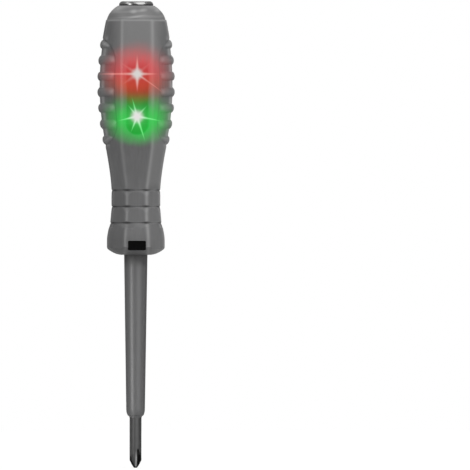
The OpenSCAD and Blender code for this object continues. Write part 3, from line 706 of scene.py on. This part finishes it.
handle_bm = turned(handle_outline(), handle_steps)
push_to_facets(handle_bm)
lock_low, lock_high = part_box("shank_lock")
handle_bm = cut(handle_bm, "window",
                (lock_low.x - window_gap, handle_low.y - 1 * mm, lock_low.z - window_gap),
                (lock_high.x + window_gap, -sleeve_bore_r, lock_high.z + window_gap), window_corner_r)
make_piece("smoky_handle", handle_bm, "handle_assembly", "handle", smoky_plastic())

# Lock: a moulded black key, pushed in through the window in the collar. Its two legs
# grip the flats of the blade, which keeps the blade from being drawn out.
def plain(name, dark, pale, roughness, metallic=0.0, gloss=0.5, stretch=(1, 1, 1), grain=0.01):
    """One colour in clouds from dark to pale, with a fine grain."""
    material, place = new_material(name)
    clouds = place.stretched(*stretch).noise(1.5, 3.0)
    specks = place.stretched(*stretch).noise(12.0, 2.0)
    return finished(material, place, {
        "Base Color": clouds.rise(0.3, 0.7).blend(paint(*dark), paint(*pale)),
        "Metallic": metallic,
        "Specular IOR Level": gloss,
        "Roughness": roughness - 0.06 + 0.12 * specks,
        "Normal": specks.bump(grain)})


def give(material, *names):
    """Puts one material on CAD nodes that keep their own shape."""
    for name in names:
        for slot in nodes[name].material_slots:
            slot.material = material


give(plain("lock_black", (0.003,) * 3, (0.004,) * 3, 0.6, gloss=0.05), "shank_lock")

# Circuit: a narrow board that slides into the lamp chamber, with two lamps and two
# resistors soldered on its front and two transistors on its back. A brass foot under
# it takes the live contact from the blade, through a coil spring.
pad_pitch = 2.54


def circuit_board():
    """Green solder mask over two winding copper tracks, with rows of tinned pads."""
    material, place = new_material("board")
    x, _, z = place.axes()
    weave = place.stretched(1, 0, 1).noise(3.0, 2.0)
    tracks = abs(abs(x + 0.25 * (z * 0.8).sine()) - 1.5).fall(0.16, 0.22)
    rows = abs((z * (2 * math.pi / pad_pitch)).sine()).fall(0.25, 0.35)
    rows = rows * abs(abs(x) - pad_pitch / 2).fall(0.4, 0.5)
    mask = weave.blend(paint(0.018, 0.12, 0.05), paint(0.028, 0.17, 0.075))
    mask = (0.6 * tracks).blend(mask, paint(0.06, 0.30, 0.12))
    return finished(material, place, {
        "Base Color": rows.blend(mask, paint(0.62, 0.62, 0.60)),
        "Metallic": rows,
        "Roughness": 0.35 + 0.1 * weave,
        "Normal": (0.7 * tracks + rows + 0.1 * weave).bump(0.03)})


def banded(name, resistor, base, bands):
    """Lacquer with colour bands on a resistor's body, and tinned wire above and below it."""
    material, place = new_material(name)
    z = place.axes()[2]
    low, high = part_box(resistor)
    middle = (low.z + high.z) / 2 / mm
    specks = place.noise(5.0, 2.0)
    colour = specks.blend(paint(*[0.9 * c for c in base]), paint(*base))
    for up, shade in bands:
        colour = abs(z - middle - up).fall(0.14, 0.18).blend(colour, paint(*shade))
    wire = abs(z - middle).rise(1.62, 1.66)
    return finished(material, place, {
        "Base Color": wire.blend(colour, paint(0.66, 0.66, 0.64)),
        "Metallic": wire,
        "Roughness": 0.36 + 0.1 * specks,
        "Normal": specks.bump(0.008)})


def lamp_resin(name, lamp, tint, light):
    """Tinted clear resin, brightest where the die shines in its middle."""
    material, place = new_material(name)
    x, _, z = place.axes()
    low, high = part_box(lamp)
    middle = (low.z + high.z) / 2 / mm
    core = x.reach(z - middle).fall(0.3, 1.6)
    swirl = place.noise(2.0, 2.0)
    return finished(material, place, {
        "Base Color": swirl.blend(paint(*[0.85 * c for c in tint]), paint(*tint)),
        "Roughness": 0.12 + 0.06 * swirl,
        "Emission Color": core.blend(paint(*light), paint(0.9, 0.85, 0.85)),
        "Emission Strength": 0.8})


def transistor_black():
    """Moulded epoxy with a faint grain, and tinned legs outside the body."""
    material, place = new_material("transistor_black")
    specks = place.noise(9.0, 2.0)
    legs = abs(place.axes()[0]).rise(0.66, 0.68)
    return finished(material, place, {
        "Base Color": legs.blend(specks.blend(paint(0.012), paint(0.022)), paint(0.62, 0.62, 0.60)),
        "Metallic": legs,
        "Roughness": 0.5 - 0.15 * legs + 0.08 * specks,
        "Normal": specks.bump(0.01)})


brown, black, gold, red, yellow, violet = (
    (0.10, 0.03, 0.01), (0.01, 0.01, 0.01), (0.55, 0.38, 0.10), (0.50, 0.02, 0.02), (0.75, 0.50, 0.03),
    (0.16, 0.05, 0.35))
series_bands = [(1.1, brown), (0.5, black), (-0.1, yellow), (-1.1, gold)]
bias_bands = [(1.1, yellow), (0.6, violet), (0.1, red), (-1.1, brown)]
give(circuit_board(), "circuit_board")
give(banded("resistor_tan", "series_resistor", (0.52, 0.38, 0.20), series_bands), "series_resistor")
give(banded("resistor_blue", "bias_resistor", (0.10, 0.24, 0.40), bias_bands), "bias_resistor")
give(lamp_resin("red_lamp", "red_led", (0.55, 0.05, 0.04), (0.75, 0.05, 0.04)), "red_led")
give(lamp_resin("green_lamp", "green_led", (0.05, 0.45, 0.10), (0.06, 0.70, 0.12)), "green_led")
give(transistor_black(), "transistor_1", "transistor_2")
give(plain("brass", (0.60, 0.42, 0.16), (0.74, 0.56, 0.25), 0.26, metallic=1.0, stretch=(1, 1, 0.3)),
     "battery_contact", "return_strip", "blade_contact")
give(plain("spring_steel", (0.50, 0.50, 0.52), (0.62, 0.62, 0.64), 0.26, metallic=1.0),
     "blade_spring", "cap_spring")

# Cells: three button cells in a thin insulating tube, held under the cap by a coil
# spring. The cans are nickelled steel, with a dark nylon ring round each top pole.
cell_h = 3.6


def cell_steel():
    """Nickelled can, with a nylon ring between its rim and its pole."""
    material, place = new_material("cell_steel")
    x, y, z = place.axes()
    across = x.reach(y)
    rings = place.stretched(1, 1, 4).noise(2.0, 3.0)
    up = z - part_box("button_cell_3")[0].z / mm
    level = up.maths("FLOORED_MODULO", up, cell_h)
    seal = across.rise(3.05, 3.12) * across.fall(3.35, 3.42) * level.rise(3.0, 3.1)
    nickel = rings.blend(paint(0.56, 0.56, 0.57), paint(0.68, 0.68, 0.69))
    return finished(material, place, {
        "Base Color": seal.blend(nickel, paint(0.03)),
        "Metallic": 1 - seal,
        "Roughness": 0.24 + 0.12 * rings + 0.2 * seal,
        "Normal": rings.bump(0.006)})


give(cell_steel(), "button_cell_1", "button_cell_2", "button_cell_3")
give(plain("liner_film", (0.035, 0.035, 0.04), (0.06, 0.06, 0.065), 0.38, stretch=(1, 1, 0.2),
           grain=0.02), "cell_liner")

# Touch cap: a turned and nickel-plated screw plug, with a rounded head that the finger
# touches, a slot for a coin, and a thread of 1 mm pitch that holds it in the dome.
cap_low, cap_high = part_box("touch_cap")
cap_round_r, cap_foot_round, cap_edge_round = 1.1 * mm, 0.1 * mm, 0.05 * mm
stem_chamfer, hollow_r, ceiling_z = 0.4 * mm, 2.9 * mm, 142.0 * mm
coin_slot_w, coin_slot_depth = 1.2 * mm, 0.6 * mm
thread_crest_r, thread_root_r = 4.4 * mm, 3.9 * mm
thread_pitch, thread_turns, steps_a_turn = 1.0 * mm, 4.3, 48
ridge_foot_r, ridge_foot_h, ridge_crest_h = thread_root_r - 0.05 * mm, 0.84 * mm, 0.16 * mm
ridge_rise, ridge_fade = 0.55 * mm, 0.3 * mm


def cap_outline():
    """The plug's outline from the middle of its head, down outside it and up its hollow."""
    cap_r, seat_z, end_z = cap_high.x, handle_high.z, cap_low.z
    head = [(0, cap_high.z)]
    head += arc(cap_r - cap_round_r, cap_high.z - cap_round_r, cap_round_r, cap_round_r, 90, 0, 10)
    head += [(cap_r, seat_z + cap_foot_round), (cap_r - cap_foot_round, seat_z)]
    stem = [(thread_root_r, seat_z), (thread_root_r, end_z + stem_chamfer),
            (thread_root_r - stem_chamfer, end_z), (hollow_r, end_z), (hollow_r, ceiling_z),
            (0, ceiling_z)]
    return head + stem


def add_thread(bm):
    """Adds a right-hand ridge that climbs the stem and fades out at both ends."""
    start = cap_low.z + ridge_rise
    section = [(ridge_foot_r, -ridge_foot_h / 2), (thread_crest_r, -ridge_crest_h / 2),
               (thread_crest_r, ridge_crest_h / 2), (ridge_foot_r, ridge_foot_h / 2)]
    ridge = bmesh.new()
    ring = [ridge.verts.new((r, 0, start + z)) for r, z in section]
    edges = [ridge.edges.new(pair) for pair in zip(ring, ring[1:] + ring[:1])]
    steps = round(thread_turns * steps_a_turn)
    bmesh.ops.spin(ridge, geom=ring + edges, cent=(0, 0, 0), axis=(0, 0, 1),
                   dvec=(0, 0, thread_pitch / steps_a_turn), angle=2 * math.pi * thread_turns,
                   steps=steps, use_merge=False, use_duplicate=False)
    bmesh.ops.holes_fill(ridge, edges=[e for e in ridge.edges if e.is_boundary], sides=0)
    bmesh.ops.recalc_face_normals(ridge, faces=ridge.faces[:])
    top = start + thread_pitch * thread_turns
    for vert in ridge.verts:
        r = math.hypot(vert.co.x, vert.co.y)
        from_end = min(vert.co.z - start, top - vert.co.z)
        grown = min(1, max(0, (from_end + ridge_fade) / (2 * ridge_fade)))
        scale = (ridge_foot_r + (r - ridge_foot_r) * grown) / r
        vert.co.x *= scale
        vert.co.y *= scale
    mesh = bpy.data.meshes.new("ridge")
    ridge.to_mesh(mesh)
    ridge.free()
    bm.from_mesh(mesh)
    bpy.data.meshes.remove(mesh)


def nickel_plate():
    """Bright nickel over turned brass, with fine rings, fingerprints, a darker slot, and painted shade
    round its foot on the dome.
    """
    material, place = new_material("nickel_plate")
    x, y, z = place.axes()
    rings = (x.reach(y) * 26.0).sine()
    prints = place.noise(0.8, 4.0)
    scratches = place.stretched(0.3, 6, 6).noise(2.5, 2.0).rise(0.62, 0.7)
    slot_floor = abs(y).fall(coin_slot_w / mm / 2 - 0.05, coin_slot_w / mm / 2 + 0.02)
    slot_floor = slot_floor * z.rise(143.5, 143.6) * z.fall(144.2, 144.5)
    plate = prints.blend(paint(0.46, 0.46, 0.455), paint(0.54, 0.54, 0.535))
    # Painted shade round the foot, where the cap sits on the dome
    plate = z.fall(143.45, 143.75).blend(plate, paint(0.12))
    return finished(material, place, {
        "Base Color": slot_floor.blend(plate, paint(0.22)),
        "Metallic": 1.0,
        "Roughness": 0.22 + 0.04 * prints.rise(0.4, 0.7) + 0.06 * scratches,
        "Normal": rings.bump(0.0002)})


cap_bm = turned(cap_outline())
cap_bm = cut(cap_bm, "coin_slot",
             (1.2 * cap_low.x, -coin_slot_w / 2, cap_high.z - coin_slot_depth),
             (1.2 * cap_high.x, coin_slot_w / 2, cap_high.z + coin_slot_depth))
round_edges(cap_bm, cap_edge_round)
add_thread(cap_bm)
make_piece("screw_cap", cap_bm, "cap", "touch_cap", nickel_plate())

# Floor, light and camera: a pale table under soft studio light, before a plain white
# background, seen level from the front through a long lens.
floor_half, lamps_aim = 0.9, Vector((0, 0, 105 * mm))
floor_bm = bmesh.new()
bmesh.ops.create_grid(floor_bm, x_segments=1, y_segments=1, size=floor_half)
floor_mesh = bpy.data.meshes.new("floor")
floor_bm.to_mesh(floor_mesh)
floor_bm.free()
floor_material, floor_place = new_material("floor_white")
floor_x, floor_y = floor_place.axes()[:2]
near = floor_x.reach(floor_y).fall(60, 500)
floor_glow = (0.32 * near).blend(paint(0.94), paint(0.0))
floor_seen = floor_place.node("LightPath", out="Is Camera Ray")
floor_mesh.materials.append(finished(floor_material, floor_place, {
    "Base Color": near.blend(paint(0.1), paint(0.55)), "Roughness": 0.8,
    "Emission Color": floor_seen.blend(paint(0.0), floor_glow), "Emission Strength": 1.0}))
floor = bpy.data.objects.new("floor", floor_mesh)
bpy.context.scene.collection.objects.link(floor)


def softbox(name, azimuth, elevation, distance, width, height, power, mirrored=True):
    """An area lamp aimed at the handle, azimuth 0 in front of it and 90 on its right."""
    turn, climb = math.radians(azimuth), math.radians(elevation)
    level = math.cos(climb)
    toward = Vector((math.sin(turn) * level, -math.cos(turn) * level, math.sin(climb)))
    aimed = toward.to_track_quat("Z", "Y").to_matrix().to_4x4()
    data = bpy.data.lights.new(name, "AREA")
    data.shape = "RECTANGLE"
    data.size = width
    data.size_y = height
    data.energy = power
    lamp = bpy.data.objects.new(name, data)
    lamp.visible_glossy = mirrored
    lamp.matrix_world = Matrix.Translation(lamps_aim + distance * toward) @ aimed
    bpy.context.scene.collection.objects.link(lamp)


softbox("key", 35, 52, 0.9, 0.95, 0.8, 3.4)
softbox("left_box", -46, 3, 0.8, 0.24, 0.8, 2.7)
softbox("front_box", 30, 3, 0.9, 0.7, 0.8, 2.4)
softbox("right_box", 95, 3, 0.6, 0.4, 0.18, 0.95, mirrored=False)
softbox("top_box", -78, 46, 0.9, 0.25, 0.25, 0.6)
softbox("back_box", 180, 57, 0.9, 0.8, 0.5, 1.2)
softbox("rear_box", 180, 12, 0.9, 0.7, 0.4, 1.3, mirrored=False)

world = bpy.data.worlds.new("studio")
bpy.context.scene.world = world
world.use_nodes = True
world.node_tree.nodes.clear()
sky = Tone(world.node_tree)
to_camera = sky.node("LightPath", out="Is Camera Ray")
mirrored = sky.node("LightPath", out="Is Glossy Ray")
through = sky.node("LightPath", out="Is Transmission Ray")
brightness = 0.12 + 0.88 * to_camera.most(through).most(0.10 * mirrored)
background = sky.node("Background", {}, {"Color": paint(1.0), "Strength": brightness})
sky.node("OutputWorld", {}, {"Surface": background})

camera_data = bpy.data.cameras.new("camera")
camera_data.lens = 1200
camera_data.sensor_width = 36
camera_data.clip_end = 50
camera = bpy.data.objects.new("camera", camera_data)
swing, roll = math.radians(-2.7), -0.0015
camera.location = Matrix.Rotation(swing, 3, "Z") @ Vector((30.74 * mm, -4856 * mm, 72.2 * mm))
camera.rotation_euler = (math.radians(90), roll, swing)
bpy.context.scene.collection.objects.link(camera)
bpy.context.scene.camera = camera
bpy.context.scene.view_settings.view_transform = "Standard"
